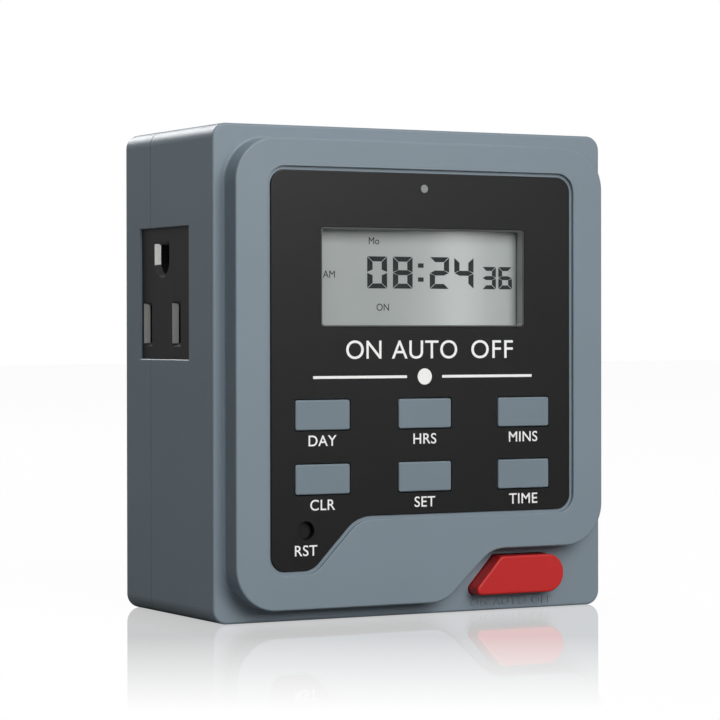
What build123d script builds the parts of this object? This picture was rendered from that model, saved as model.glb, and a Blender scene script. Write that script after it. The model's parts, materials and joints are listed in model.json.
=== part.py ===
from build123d import *
import os

# Digital plug-in timer with a grounded outlet in each side, in millimetres.
# X runs to the right, Y from the front to the wall socket behind, Z up.
# The origin is the middle of the base, half way through the depth of the housing.

os.makedirs("parts", exist_ok=True)

# Housing
housing_width = 82.5
housing_height = 90.2
housing_depth = 38.5
rear_shell_depth = 11.5
wall = 2.0
corner_radius = 2.7
front_edge_radius = 0.45
rear_edge_radius = 0.5
parting_bevel = 0.15
lip_height = 1.5
lip_thickness = 0.9
lip_clearance = 0.1

# Raised bezel, which steps down at the lower right to leave room for the mode key
bezel_proud = 4.6
bezel_top_margin = 2.6
bezel_margin = 2.4
bezel_side_margin = 2.35
bezel_corner_radius = 8.0
bezel_step_z = 12.0
bezel_step_high_run = 24.45
bezel_step_low_run = 34.8
bezel_step_radius = 7.0
bezel_foot_radius = 0.4
bezel_edge_radius = 0.35

# Face panel, sunk in the bezel, with a shallow groove round its edge
panel_sink = 0.3
panel_thickness = 1.5
panel_clearance = 0.05
panel_edge_radius = 0.15
groove_width = 0.7
groove_depth = 0.65
groove_edge_radius = 0.15
panel_corner_radius = 2.8
bezel_side_width = 7.15
bezel_top_width = 5.8
bezel_bottom_width = 7.0
panel_step_low_run = 8.4
panel_step_high_run = 17.65
panel_step_low_radius = 4.0
panel_step_high_radius = 7.0
ledge_width = 1.5
ledge_thickness = 1.5

# Display
window_width = 43.2
window_height = 18.1
window_from_top = 19.2
window_corner_radius = 0.6
collar_wall = 0.25
collar_sink = 0.05
display_window_depth = 2.1
display_window_thickness = 0.6
lcd_width = 49.0
lcd_height = 22.6
lcd_glass = 1.4
lcd_ledge = 2.0
frame_wall = 1.2
fit_clearance = 0.1
zebra_width = 1.8
zebra_end_gap = 1.5

# Function keys
key_width = 11.15
key_height = 5.45
key_corner_radius = 0.4
key_edge_radius = 0.25
key_side_margin = 10.4
key_row_from_step = 6.9
key_row_pitch = 11.65
key_proud = 0.2
key_gap = 0.2
key_play = 0.1
flange_margin = 0.8
flange_thickness = 1.0
stem_radius = 2.0

# Reset key, pressed with a pen point through a small hole
reset_from_side = 7.0
reset_from_bottom = 7.3
reset_hole_radius = 1.7
reset_sink = 1.1
reset_stem_radius = 1.2

# Mode key, a bar with one slanted and one round end
mode_from_step = 6.6
mode_slant_width = 6.55
mode_right_margin = 7.8
mode_bottom_margin = 0.8
mode_top_gap = 1.6
mode_proud = 3.3
mode_end_radius = 3.55
mode_corner_radius = 1.0
mode_edge_radius = 0.4

# Push switches under the keys
switch_side = 6.0
switch_body_height = 3.5
switch_height = 5.0
plunger_radius = 1.7
plunger_clearance = 0.1
plunger_hidden = 0.7
plunger_well = 1.8

# Indicator
indicator_from_top = 2.8
indicator_radius = 0.75
indicator_flange_radius = 1.1
led_size = 1.6
led_height = 0.8

# Circuit boards
board_thickness = 1.6
board_edge_gap = 0.6
control_board_side_gap = 3.8
post_radius = 2.2
control_post_side_inset = 2.0
control_post_top_inset = 4.2
control_post_low_z = 26.0
power_board_side_gap = 2.5
power_board_pin_gap = 5.7
power_post_side_inset = 4.5
power_post_bottom_inset = 3.5
power_post_top_inset = 4.3
power_post_height = 2.5

# Screws
boss_inset = 5.0
front_boss_radius = 3.2
rear_boss_radius = 3.9
housing_screw_radius = 1.4
housing_screw_head_radius = 2.6
housing_screw_head_height = 2.0
housing_screw_sink = 1.0
housing_screw_bite = 9.0
cross_recess_length = 3.2
cross_recess_width = 0.7
board_screw_radius = 0.9
board_screw_head_radius = 1.8
board_screw_head_height = 1.2
board_screw_bite = 4.0
power_screw_bite = 2.4
screw_clearance = 0.05
boss_end_gap = 0.3

# Outlets, one in each side
outlet_behind_middle = 1.85
outlet_from_top = 30.4
outlet_board_gap = 0.3
outlet_width = 21.7
outlet_height = 24.45
outlet_edge_bevel = 0.15
outlet_recess = 0.5
outlet_clearance = 0.05
outlet_depth = 23.5
outlet_flange = 1.5
outlet_flange_thickness = 2.0
outlet_face_thickness = 3.0
outlet_cover_thickness = 1.3
hole_shift = 1.8
blade_spacing = 12.7
ground_offset = 11.9
ground_rise = 6.25
slot_width = 2.3
slot_height = 7.0
lead_in_width = 0.65
lead_in_depth = 1.0
ground_hole_width = 5.2
ground_hole_top = 2.8
blade_cavity_width = 3.9
blade_cavity_height = 8.4
ground_cavity_width = 6.8
ground_cavity_height = 7.4

# Contact bars, one strip with a clip at each end
strip_thickness = 0.8
strip_width = 3.6
leaf_thickness = 0.6
clip_start = 5.0
clip_throat = 7.0
clip_end = 22.0
clip_overlap = 0.3
blade_clip_gap = 1.7
blade_clip_mouth = 2.4
blade_clip_height = 6.4
ground_clip_gap = 4.9
ground_clip_mouth = 5.4
ground_clip_height = 5.6
strip_straight = 1.7
cover_slot_clearance = 0.15

# Plug on the back
plug_above_slots = 3.85
blade_width = 6.35
blade_thickness = 1.5
blade_length = 17.0
blade_hole_radius = 1.6
blade_hole_from_tip = 5.0
blade_tip_chamfer = 0.5
ground_pin_radius = 2.4
ground_pin_length = 20.2
pin_collar_radius = 2.9
plug_base_width = 22.0
plug_base_height = 27.0
plug_base_radius = 4.0
plug_base_flange = 1.5
plug_base_flange_thickness = 2.0
plug_base_clearance = 0.1
blade_clearance = 0.05
shoulder_thickness = 1.0
shoulder_margin = 0.85
blade_tab_length = 4.6
pin_stub_radius = 1.5
pin_stub_length = 1.6
strap_width = 4.0
strap_pad_width = 6.0

# Wires
wire_radius = 1.1
wire_bend = 2.0
wire_edge_gap = 2.0
wire_board_gap = 3.5
feed_shift = 5.5
switched_x = 10.0
neutral_x = -10.0
neutral_shift = 6.0
ribbon_width = 9.0
ribbon_thickness = 0.9
ribbon_x = -19.0
connector_width = 12.0
connector_height = 4.0
connector_depth = 6.0

# Parts on the two boards
chip_side = 10.0
chip_height = 1.6
chip_z = 34.0
crystal_width = 8.0
crystal_height = 3.2
crystal_depth = 2.5
crystal_z = 22.0
battery_radius = 7.7
battery_depth = 6.2
battery_x = 17.0
battery_z = 24.0
relay_width = 19.0
relay_height = 15.5
relay_depth = 15.3
relay_x = -16.0
relay_edge_gap = 1.0
film_width = 18.0
film_height = 8.0
film_depth = 14.0
film_x = 5.0
film_z = 24.0
can_radius = 4.0
can_depth = 12.0
can_x = 25.5
can_z = 29.5
can_bevel = 0.5
varistor_radius = 4.5
varistor_thickness = 3.4
varistor_lift = 1.0
varistor_x = 30.0
varistor_z = 20.5
varistor_lead_pitch = 5.0
lead_radius = 0.4
lead_length = 2.5
diode_radius = 1.3
diode_length = 5.0
diode_x = 20.0
diode_low_z = 12.0
diode_pitch = 4.0
diode_count = 4
resistor_radius = 1.7
resistor_length = 8.0
resistor_x = 2.0
resistor_low_z = 12.0
resistor_pitch = 4.2
resistor_count = 2
connector_outlet_gap = 2.1
connector_edge_gap = 1.3

# Depths, worked out from the sizes above
front_y = -housing_depth / 2
rear_y = housing_depth / 2
parting_y = rear_y - rear_shell_depth
front_inner_y = front_y + wall
rear_inner_y = rear_y - wall
bezel_y = front_y - bezel_proud
panel_y = bezel_y + panel_sink
panel_back_y = panel_y + panel_thickness
ledge_back_y = panel_back_y + ledge_thickness
flange_y = panel_back_y + key_play
flange_back_y = flange_y + flange_thickness
outlet_y = outlet_behind_middle
socket_y = outlet_y + hole_shift
board_back_y = outlet_y - outlet_width / 2 - outlet_board_gap
board_y = board_back_y - board_thickness
switch_face_y = board_y - switch_body_height
plunger_top_y = board_y - switch_height
power_board_back_y = rear_inner_y - power_post_height
power_board_y = power_board_back_y - board_thickness

# Heights and widths that follow from others
mid_z = housing_height / 2
bezel_left = -housing_width / 2 + bezel_side_margin
bezel_top = housing_height - bezel_top_margin
panel_left = bezel_left + bezel_side_width
panel_top = bezel_top - bezel_top_width
panel_bottom = bezel_margin + bezel_bottom_width
panel_step_z = bezel_step_z + bezel_bottom_width
bezel_step_low_x = -bezel_left - bezel_step_low_run
bezel_step_high_x = -bezel_left - bezel_step_high_run
panel_step_low_x = panel_left + panel_step_low_run
panel_step_high_x = panel_left + panel_step_high_run
window_z = panel_top - window_from_top
indicator_z = panel_top - indicator_from_top
key_pitch_x = -panel_left - key_side_margin
key_row_low_z = panel_step_z + key_row_from_step
key_row_z = (key_row_low_z + key_row_pitch, key_row_low_z)
reset_x = panel_left + reset_from_side
reset_z = panel_bottom + reset_from_bottom
mode_low_x = bezel_step_low_x + mode_from_step
mode_high_x = mode_low_x + mode_slant_width
mode_right_x = -bezel_left - mode_right_margin
mode_bottom_z = bezel_margin + mode_bottom_margin
mode_top_z = bezel_step_z - mode_top_gap
outlet_z = housing_height - outlet_from_top
blade_slot_z = outlet_z + ground_rise - ground_offset
ground_slot_z = outlet_z + ground_rise
blade_offset = blade_spacing / 2
neutral_strip_z = blade_slot_z - blade_clip_height / 2
line_strip_z = blade_slot_z + blade_clip_height / 2 - strip_thickness
ground_strip_z = ground_slot_z + ground_clip_height / 2 - strip_thickness
plug_blade_z = blade_slot_z + plug_above_slots
plug_pin_z = plug_blade_z - ground_offset
plug_mid_z = (plug_blade_z + plug_pin_z) / 2
strip_bend_x = housing_width / 2 - clip_end - outlet_cover_thickness - outlet_flange - strip_straight
boss_x = housing_width / 2 - boss_inset
boss_z = (boss_inset, housing_height - boss_inset)

# Board outlines and the posts that carry them
control_half_width = housing_width / 2 - wall - control_board_side_gap
control_bottom_z = wall + 2 * board_edge_gap
control_top_z = boss_z[1] - front_boss_radius - board_edge_gap
post_x = control_half_width - control_post_side_inset
control_post_z = (control_top_z - control_post_top_inset, control_post_low_z)
power_board_width = housing_width - 2 * wall - 2 * power_board_side_gap
power_board_bottom_z = boss_z[0] + rear_boss_radius + board_edge_gap
power_board_top_z = plug_pin_z - power_board_pin_gap
power_post_x = power_board_width / 2 - power_post_side_inset
power_post_z = (power_board_bottom_z + power_post_bottom_inset, power_board_top_z - power_post_top_inset)


def at_depth(y):
    """Sketch plane at depth y that faces the front: its x is X and its y is Z."""
    return Plane.XZ.offset(-y)


def outlet_plane(side, depth):
    """Plane at a depth inside one side, as seen from outside: x to the right, y up."""
    return Plane(
        origin=(side * (housing_width / 2 - depth), outlet_y, outlet_z),
        x_dir=(0, side, 0),
        z_dir=(side, 0, 0),
    )


def save(piece, name):
    """Label a finished piece and write it under its own name."""
    piece.part.label = name
    export_step(piece.part, f"parts/{name}.step")


def grid_points(xs, zs):
    """Every pair of a place across and a height."""
    return [(x, z) for x in xs for z in zs]


housing_screw_places = grid_points((-boss_x, boss_x), boss_z)
control_screw_places = grid_points((-post_x, post_x), control_post_z)
power_screw_places = grid_points((-power_post_x, power_post_x), power_post_z)

bezel_points = [
    (bezel_left, bezel_margin),
    (bezel_step_low_x, bezel_margin),
    (bezel_step_high_x, bezel_step_z),
    (-bezel_left, bezel_step_z),
    (-bezel_left, bezel_top),
    (bezel_left, bezel_top),
]
bezel_radii = [bezel_corner_radius, bezel_step_radius, bezel_step_radius] + 3 * [bezel_corner_radius]

panel_points = [
    (panel_left, panel_bottom),
    (panel_step_low_x, panel_bottom),
    (panel_step_high_x, panel_step_z),
    (-panel_left, panel_step_z),
    (-panel_left, panel_top),
    (panel_left, panel_top),
]
panel_radii = [panel_corner_radius, panel_step_low_radius, panel_step_high_radius] + 3 * [panel_corner_radius]

mode_points = [
    (mode_low_x, mode_bottom_z),
    (mode_right_x, mode_bottom_z),
    (mode_right_x, mode_top_z),
    (mode_high_x, mode_top_z),
]
mode_radii = [mode_corner_radius, mode_end_radius, mode_end_radius, mode_corner_radius]
mode_x = (mode_low_x + mode_high_x) / 4 + mode_right_x / 2
mode_z = (mode_bottom_z + mode_top_z) / 2


def rounded_outline(points, radii, grow=0.0):
    """Face with the given corners, each rounded, then grown or shrunk evenly."""
    with BuildSketch() as outline:
        with BuildLine():
            FilletPolyline(*points, radius=radii, close=True)
        make_face()
        if grow:
            offset(amount=grow, kind=Kind.INTERSECTION)
    return outline.sketch


def housing_outline(shrink=0.0):
    """Front view of the housing, or of its inside when shrunk by the wall."""
    radius = max(corner_radius - shrink, 0.3)
    with BuildSketch() as outline:
        with Locations((0, mid_z)):
            RectangleRounded(housing_width - 2 * shrink, housing_height - 2 * shrink, radius)
    return outline.sketch


# Cutter for the outlet windows: a bar through both side walls, with a bevel at each face
with BuildPart() as outlet_windows:
    with BuildSketch(Plane.YZ):
        with Locations((outlet_y, outlet_z)):
            Rectangle(outlet_width, outlet_height)
    extrude(amount=housing_width / 2 + wall, both=True)
    for side in (-1, 1):
        with BuildSketch(outlet_plane(side, 0)):
            Rectangle(outlet_width + 2 * outlet_edge_bevel, outlet_height + 2 * outlet_edge_bevel)
        extrude(amount=-outlet_edge_bevel, taper=45)

# Front housing: shell, raised bezel, ledge for the panel, well for the mode key, bosses
with BuildPart() as front_housing:
    with BuildSketch(at_depth(parting_y)):
        add(housing_outline())
    extrude(amount=parting_y - front_y)
    fillet(front_housing.faces().sort_by(Axis.Y)[0].edges(), radius=front_edge_radius)
    chamfer(front_housing.faces().sort_by(Axis.Y)[-1].edges(), length=parting_bevel)
    with BuildSketch(at_depth(front_inner_y)):
        add(rounded_outline(bezel_points, bezel_radii))
    extrude(amount=front_inner_y - bezel_y)
    front_face = front_housing.faces().filter_by(Axis.Y).group_by(Axis.Y)[1][0]
    fillet(front_face.inner_wires()[0].edges(), radius=bezel_foot_radius)
    fillet(front_housing.faces().sort_by(Axis.Y)[0].edges(), radius=bezel_edge_radius)

    with BuildSketch(at_depth(panel_back_y)):
        add(rounded_outline(panel_points, panel_radii, panel_clearance))
    extrude(amount=panel_back_y - bezel_y + wall, mode=Mode.SUBTRACT)
    with BuildSketch(at_depth(bezel_y + groove_depth)):
        add(rounded_outline(panel_points, panel_radii, groove_width))
    extrude(amount=groove_depth + wall, mode=Mode.SUBTRACT)
    bezel_face = front_housing.faces().sort_by(Axis.Y)[0]
    fillet(bezel_face.inner_wires()[0].edges(), radius=groove_edge_radius)
    with BuildSketch(at_depth(ledge_back_y)):
        add(rounded_outline(panel_points, panel_radii, -ledge_width))
    extrude(amount=ledge_back_y - bezel_y, mode=Mode.SUBTRACT)
    with BuildSketch(at_depth(front_inner_y)):
        add(rounded_outline(bezel_points, bezel_radii, -wall))
    extrude(amount=front_inner_y - ledge_back_y, mode=Mode.SUBTRACT)
    with BuildSketch(at_depth(parting_y)):
        add(housing_outline(wall))
    extrude(amount=parting_y - front_inner_y, mode=Mode.SUBTRACT)
    with BuildSketch(at_depth(front_inner_y)):
        add(rounded_outline(mode_points, mode_radii, key_gap))
    extrude(amount=2 * wall, mode=Mode.SUBTRACT)
    add(outlet_windows.part, mode=Mode.SUBTRACT)

    with BuildSketch(at_depth(parting_y)):
        with Locations(*housing_screw_places):
            Circle(front_boss_radius)
    extrude(amount=parting_y - front_inner_y)
    with BuildSketch(at_depth(parting_y)):
        with Locations(*housing_screw_places):
            Circle(housing_screw_radius + screw_clearance)
    extrude(amount=housing_screw_bite + boss_end_gap, mode=Mode.SUBTRACT)
    with BuildSketch(at_depth(board_y)):
        with Locations(*control_screw_places):
            Circle(post_radius)
    extrude(amount=board_y - ledge_back_y)
    with BuildSketch(at_depth(board_y)):
        with Locations(*control_screw_places):
            Circle(board_screw_radius + screw_clearance)
    extrude(amount=board_screw_bite + boss_end_gap, mode=Mode.SUBTRACT)
save(front_housing, "front_housing")

# Rear housing: shell with a lip inside the front one, screw bosses, board posts, plug opening
with BuildPart() as rear_housing:
    with BuildSketch(at_depth(rear_y)):
        add(housing_outline())
    extrude(amount=rear_shell_depth)
    fillet(rear_housing.faces().sort_by(Axis.Y)[-1].edges(), radius=rear_edge_radius)
    chamfer(rear_housing.faces().sort_by(Axis.Y)[0].edges(), length=parting_bevel)
    with BuildSketch(at_depth(rear_inner_y)):
        add(housing_outline(wall))
    extrude(amount=rear_shell_depth - wall, mode=Mode.SUBTRACT)
    with BuildSketch(at_depth(parting_y + lip_height)):
        add(housing_outline(wall + lip_clearance))
        add(housing_outline(wall + lip_clearance + lip_thickness), mode=Mode.SUBTRACT)
    extrude(amount=2 * lip_height)
    with BuildSketch(at_depth(parting_y + lip_height)):
        add(housing_outline(wall - lip_clearance))
        add(housing_outline(wall + lip_clearance + lip_thickness), mode=Mode.SUBTRACT)
    extrude(amount=lip_height)
    with BuildSketch(at_depth(parting_y)):
        with Locations(*housing_screw_places):
            Circle(front_boss_radius + boss_end_gap)
    extrude(amount=2 * lip_height, mode=Mode.SUBTRACT)
    with BuildSketch(Plane.YZ):
        with Locations((outlet_y, outlet_z)):
            Rectangle(outlet_width + 2 * outlet_flange + 2 * fit_clearance,
                      outlet_height + 2 * outlet_flange + 2 * fit_clearance)
    extrude(amount=housing_width / 2 - wall, both=True, mode=Mode.SUBTRACT)
    add(outlet_windows.part, mode=Mode.SUBTRACT)

    with BuildSketch(at_depth(rear_inner_y)):
        with Locations(*housing_screw_places):
            Circle(rear_boss_radius)
    extrude(amount=rear_inner_y - parting_y)
    with BuildSketch(at_depth(rear_y)):
        with Locations(*housing_screw_places):
            Circle(housing_screw_radius + 4 * screw_clearance)
    extrude(amount=rear_shell_depth, mode=Mode.SUBTRACT)
    with BuildSketch(at_depth(rear_y)):
        with Locations(*housing_screw_places):
            Circle(housing_screw_head_radius + 4 * screw_clearance)
    extrude(amount=housing_screw_head_height + housing_screw_sink, mode=Mode.SUBTRACT)
    with BuildSketch(at_depth(rear_inner_y)):
        with Locations(*power_screw_places):
            Circle(post_radius)
    extrude(amount=power_post_height)
    with BuildSketch(at_depth(power_board_back_y)):
        with Locations(*power_screw_places):
            Circle(board_screw_radius + screw_clearance)
    extrude(amount=-power_screw_bite - boss_end_gap, mode=Mode.SUBTRACT)
    with BuildSketch(at_depth(rear_y)):
        with Locations((0, plug_mid_z)):
            RectangleRounded(plug_base_width, plug_base_height, plug_base_radius)
    extrude(amount=wall, mode=Mode.SUBTRACT)
save(rear_housing, "rear_housing")

# Face panel: black plate with the display opening and a hole for each key
key_places = [(column * key_pitch_x, z) for z in key_row_z for column in (-1, 0, 1)]
with BuildPart() as face_panel:
    with BuildSketch(at_depth(panel_back_y)):
        add(rounded_outline(panel_points, panel_radii))
        with Locations((0, window_z)):
            RectangleRounded(window_width + 2 * fit_clearance, window_height + 2 * fit_clearance,
                             window_corner_radius + fit_clearance, mode=Mode.SUBTRACT)
        with Locations(*key_places):
            RectangleRounded(key_width + 2 * key_gap, key_height + 2 * key_gap,
                             key_corner_radius + key_gap, mode=Mode.SUBTRACT)
        with Locations((reset_x, reset_z)):
            Circle(reset_hole_radius, mode=Mode.SUBTRACT)
        with Locations((0, indicator_z)):
            Circle(indicator_radius + screw_clearance, mode=Mode.SUBTRACT)
    extrude(amount=panel_thickness)
    panel_face = face_panel.faces().sort_by(Axis.Y)[0]
    fillet(panel_face.outer_wire().edges(), radius=panel_edge_radius)
save(face_panel, "face_panel")

# Display frame: a collar that fills the panel opening, and a box that holds the glass
frame_width = lcd_width + 2 * fit_clearance + 2 * frame_wall
frame_height = lcd_height + 2 * fit_clearance + 2 * frame_wall
display_window_y = panel_y + display_window_depth
lcd_y = display_window_y + display_window_thickness
lcd_back_y = lcd_y + 2 * lcd_glass
with BuildPart() as display_frame:
    with BuildSketch(at_depth(board_y)):
        with Locations((0, window_z)):
            Rectangle(frame_width, frame_height)
    extrude(amount=board_y - panel_back_y)
    with BuildSketch(at_depth(panel_back_y)):
        with Locations((0, window_z)):
            RectangleRounded(window_width, window_height, window_corner_radius)
    extrude(amount=panel_thickness - collar_sink)
    with BuildSketch(at_depth(board_y)):
        with Locations((0, window_z)):
            Rectangle(lcd_width + 2 * fit_clearance, lcd_height + 2 * fit_clearance)
    extrude(amount=board_y - display_window_y, mode=Mode.SUBTRACT)
    with BuildSketch(at_depth(board_y)):
        with Locations((0, window_z)):
            RectangleRounded(window_width - 2 * collar_wall, window_height - 2 * collar_wall,
                             window_corner_radius - collar_wall / 2)
    extrude(amount=board_y - panel_y, mode=Mode.SUBTRACT)
save(display_frame, "display_frame")

# Clear window in front of the display glass
with BuildPart() as display_window:
    with BuildSketch(at_depth(lcd_y)):
        with Locations((0, window_z)):
            Rectangle(lcd_width, lcd_height)
    extrude(amount=display_window_thickness)
save(display_window, "display_window")

# Display glass: a front plate, and a lower rear plate that leaves the contact ledges bare
with BuildPart() as lcd_cell:
    with BuildSketch(at_depth(lcd_y + lcd_glass)):
        with Locations((0, window_z)):
            Rectangle(lcd_width, lcd_height)
    extrude(amount=lcd_glass)
    with BuildSketch(at_depth(lcd_back_y)):
        with Locations((0, window_z)):
            Rectangle(lcd_width, lcd_height - 2 * lcd_ledge)
    extrude(amount=lcd_glass)
save(lcd_cell, "lcd_cell")

# Rubber contact strips between the glass and the control board
zebra_rise = (lcd_height - lcd_ledge) / 2
with BuildPart() as zebra_strips:
    with BuildSketch(at_depth(board_y)):
        with Locations((0, window_z - zebra_rise), (0, window_z + zebra_rise)):
            Rectangle(lcd_width - 2 * zebra_end_gap, zebra_width)
    extrude(amount=board_y - lcd_y - lcd_glass)
save(zebra_strips, "zebra_strips")

# Light pipe of the indicator, from the panel down to its lamp
with BuildPart() as indicator_lens:
    with BuildSketch(at_depth(board_y - led_height - key_play)):
        with Locations((0, indicator_z)):
            Circle(indicator_radius)
    extrude(amount=board_y - led_height - key_play - panel_y)
    with BuildSketch(at_depth(flange_back_y)):
        with Locations((0, indicator_z)):
            Circle(indicator_flange_radius)
    extrude(amount=flange_back_y - panel_back_y)
save(indicator_lens, "indicator_lens")

with BuildPart() as indicator_lamp:
    with BuildSketch(at_depth(board_y)):
        with Locations((0, indicator_z)):
            Rectangle(led_size, led_size)
    extrude(amount=led_height)
save(indicator_lamp, "indicator_lamp")


def make_switch_plunger(x, z):
    """Plunger of one push switch, which moves with its key."""
    with BuildPart() as plunger:
        with BuildSketch(at_depth(switch_face_y + plunger_hidden)):
            with Locations((x, z)):
                Circle(plunger_radius)
        extrude(amount=switch_face_y + plunger_hidden - plunger_top_y)
    return plunger


def make_function_key(x, z):
    """Key cap with the flange that keeps it in the panel, and its stem."""
    with BuildPart() as key:
        with BuildSketch(at_depth(flange_y)):
            with Locations((x, z)):
                RectangleRounded(key_width, key_height, key_corner_radius)
        extrude(amount=flange_y - panel_y + key_proud)
        fillet(key.faces().sort_by(Axis.Y)[0].edges(), radius=key_edge_radius)
        with BuildSketch(at_depth(flange_back_y)):
            with Locations((x, z)):
                Rectangle(key_width + 2 * flange_margin, key_height + 2 * flange_margin)
        extrude(amount=flange_thickness)
        with BuildSketch(at_depth(plunger_top_y)):
            with Locations((x, z)):
                Circle(stem_radius)
        extrude(amount=plunger_top_y - flange_back_y)
    return key


# The six function keys, by rows from the upper left
key_names = ("day_key", "hour_key", "minute_key", "clear_key", "set_key", "time_key")
for key_name, (key_x, key_z) in zip(key_names, key_places):
    save(make_function_key(key_x, key_z), key_name)
    save(make_switch_plunger(key_x, key_z), key_name + "_plunger")

# Reset key: a thin peg that stops short of the panel face
with BuildPart() as reset_key:
    with BuildSketch(at_depth(flange_y)):
        with Locations((reset_x, reset_z)):
            Circle(reset_hole_radius - key_gap)
    extrude(amount=flange_y - panel_y - reset_sink)
    with BuildSketch(at_depth(flange_back_y)):
        with Locations((reset_x, reset_z)):
            Circle(reset_hole_radius + flange_margin)
    extrude(amount=flange_thickness)
    with BuildSketch(at_depth(plunger_top_y)):
        with Locations((reset_x, reset_z)):
            Circle(reset_stem_radius)
    extrude(amount=plunger_top_y - flange_back_y)
save(reset_key, "reset_key")
save(make_switch_plunger(reset_x, reset_z), "reset_key_plunger")

# Mode key: it stands well out of the housing beside the bezel
mode_flange_y = front_inner_y + key_play
with BuildPart() as mode_key:
    with BuildSketch(at_depth(mode_flange_y)):
        add(rounded_outline(mode_points, mode_radii))
    extrude(amount=mode_flange_y - front_y + mode_proud)
    fillet(mode_key.faces().sort_by(Axis.Y)[0].edges(), radius=mode_edge_radius)
    with BuildSketch(at_depth(mode_flange_y + flange_thickness)):
        add(rounded_outline(mode_points, mode_radii, flange_margin))
    extrude(amount=flange_thickness)
    with BuildSketch(at_depth(plunger_top_y)):
        with Locations((mode_x, mode_z)):
            Circle(stem_radius)
    extrude(amount=plunger_top_y - mode_flange_y)
save(mode_key, "mode_key")
save(make_switch_plunger(mode_x, mode_z), "mode_key_plunger")

# Bodies of the eight push switches, each with the well its plunger runs in
switch_places = key_places + [(reset_x, reset_z), (mode_x, mode_z)]
with BuildPart() as key_switches:
    with BuildSketch(at_depth(board_y)):
        with Locations(*switch_places):
            Rectangle(switch_side, switch_side)
    extrude(amount=switch_body_height)
    with BuildSketch(at_depth(switch_face_y + plunger_well)):
        with Locations(*switch_places):
            Circle(plunger_radius + plunger_clearance)
    extrude(amount=plunger_well, mode=Mode.SUBTRACT)
save(key_switches, "key_switches")

# Control board behind the keys and the display, notched round the lower screw bosses
notch_x = boss_x - front_boss_radius - board_edge_gap
notch_z = boss_z[0] + front_boss_radius + board_edge_gap
control_points = [
    (-notch_x, control_bottom_z),
    (notch_x, control_bottom_z),
    (notch_x, notch_z),
    (control_half_width, notch_z),
    (control_half_width, control_top_z),
    (-control_half_width, control_top_z),
    (-control_half_width, notch_z),
    (-notch_x, notch_z),
]
with BuildPart() as control_board:
    with BuildSketch(at_depth(board_back_y)):
        with BuildLine():
            Polyline(*control_points, close=True)
        make_face()
        with Locations(*control_screw_places):
            Circle(board_screw_radius + 4 * screw_clearance, mode=Mode.SUBTRACT)
    extrude(amount=board_thickness)
save(control_board, "control_board")


def make_block(x, z, y, width, height, depth):
    """Rectangular component that stands on a board at depth y; a negative depth faces the rear."""
    with BuildPart() as block:
        with BuildSketch(at_depth(y)):
            with Locations((x, z)):
                Rectangle(width, height)
        extrude(amount=depth)
    return block


def make_can(x, z, y, radius, depth, bevel):
    """Round component that stands on a board at depth y; a negative depth faces the rear."""
    with BuildPart() as can:
        with BuildSketch(at_depth(y)):
            with Locations((x, z)):
                Circle(radius)
        extrude(amount=depth)
        chamfer(can.faces().filter_by(Axis.Y).edges(), length=bevel)
    return can


# Parts on the back of the control board
save(make_block(0, chip_z, board_back_y, chip_side, chip_side, -chip_height), "microcontroller")
save(make_block(0, crystal_z, board_back_y, crystal_width, crystal_height, -crystal_depth),
     "clock_crystal")
save(make_can(battery_x, battery_z, board_back_y, battery_radius, -battery_depth, can_bevel),
     "memory_battery")

# Power board behind, low in the rear housing
power_mid_z = (power_board_bottom_z + power_board_top_z) / 2
with BuildPart() as power_board:
    with BuildSketch(at_depth(power_board_back_y)):
        with Locations((0, power_mid_z)):
            Rectangle(power_board_width, power_board_top_z - power_board_bottom_z)
        with Locations(*power_screw_places):
            Circle(board_screw_radius + 4 * screw_clearance, mode=Mode.SUBTRACT)
    extrude(amount=board_thickness)
save(power_board, "power_board")

relay_z = power_board_bottom_z + relay_edge_gap + relay_height / 2
save(make_block(relay_x, relay_z, power_board_y, relay_width, relay_height, relay_depth), "relay")
save(make_block(film_x, film_z, power_board_y, film_width, film_height, film_depth), "film_capacitor")
save(make_can(can_x, can_z, power_board_y, can_radius, can_depth, can_bevel), "smoothing_capacitor")

# Varistor: a disc on edge, with its two leads
with BuildPart() as varistor:
    with BuildSketch(Plane.YZ.offset(varistor_x - varistor_thickness / 2)):
        with Locations((power_board_y - varistor_lift - varistor_radius, varistor_z)):
            Circle(varistor_radius)
    extrude(amount=varistor_thickness)
    with BuildSketch(at_depth(power_board_y)):
        with Locations((varistor_x, varistor_z - varistor_lead_pitch / 2),
                       (varistor_x, varistor_z + varistor_lead_pitch / 2)):
            Circle(lead_radius)
    extrude(amount=varistor_lift + varistor_radius)
save(varistor, "varistor")


def make_lying_parts(count, x, low_z, pitch, radius, length):
    """Row of round parts lying along X on the power board, with a bent lead at both ends."""
    reach = length / 2 + lead_length
    with BuildPart() as lying:
        for number in range(count):
            z = low_z + number * pitch
            with BuildSketch(Plane.YZ.offset(x - length / 2)):
                with Locations((power_board_y - radius, z)):
                    Circle(radius)
            extrude(amount=length)
            with BuildSketch(Plane.YZ.offset(x - reach)):
                with Locations((power_board_y - radius, z)):
                    Circle(lead_radius)
            extrude(amount=2 * reach)
            with BuildSketch(at_depth(power_board_y)):
                with Locations((x - reach, z), (x + reach, z)):
                    Circle(lead_radius)
            extrude(amount=radius)
    return lying


save(make_lying_parts(diode_count, diode_x, diode_low_z, diode_pitch, diode_radius, diode_length),
     "rectifier_diodes")
save(make_lying_parts(resistor_count, resistor_x, resistor_low_z, resistor_pitch, resistor_radius,
                      resistor_length), "dropper_resistors")


def socket_places(side):
    """Middles of the two blade slots and of the ground hole on an outlet plane."""
    across = side * hole_shift
    slot_rise = ground_rise - ground_offset
    slots = [(across - blade_offset, slot_rise), (across + blade_offset, slot_rise)]
    return slots, (across, ground_rise)


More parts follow.
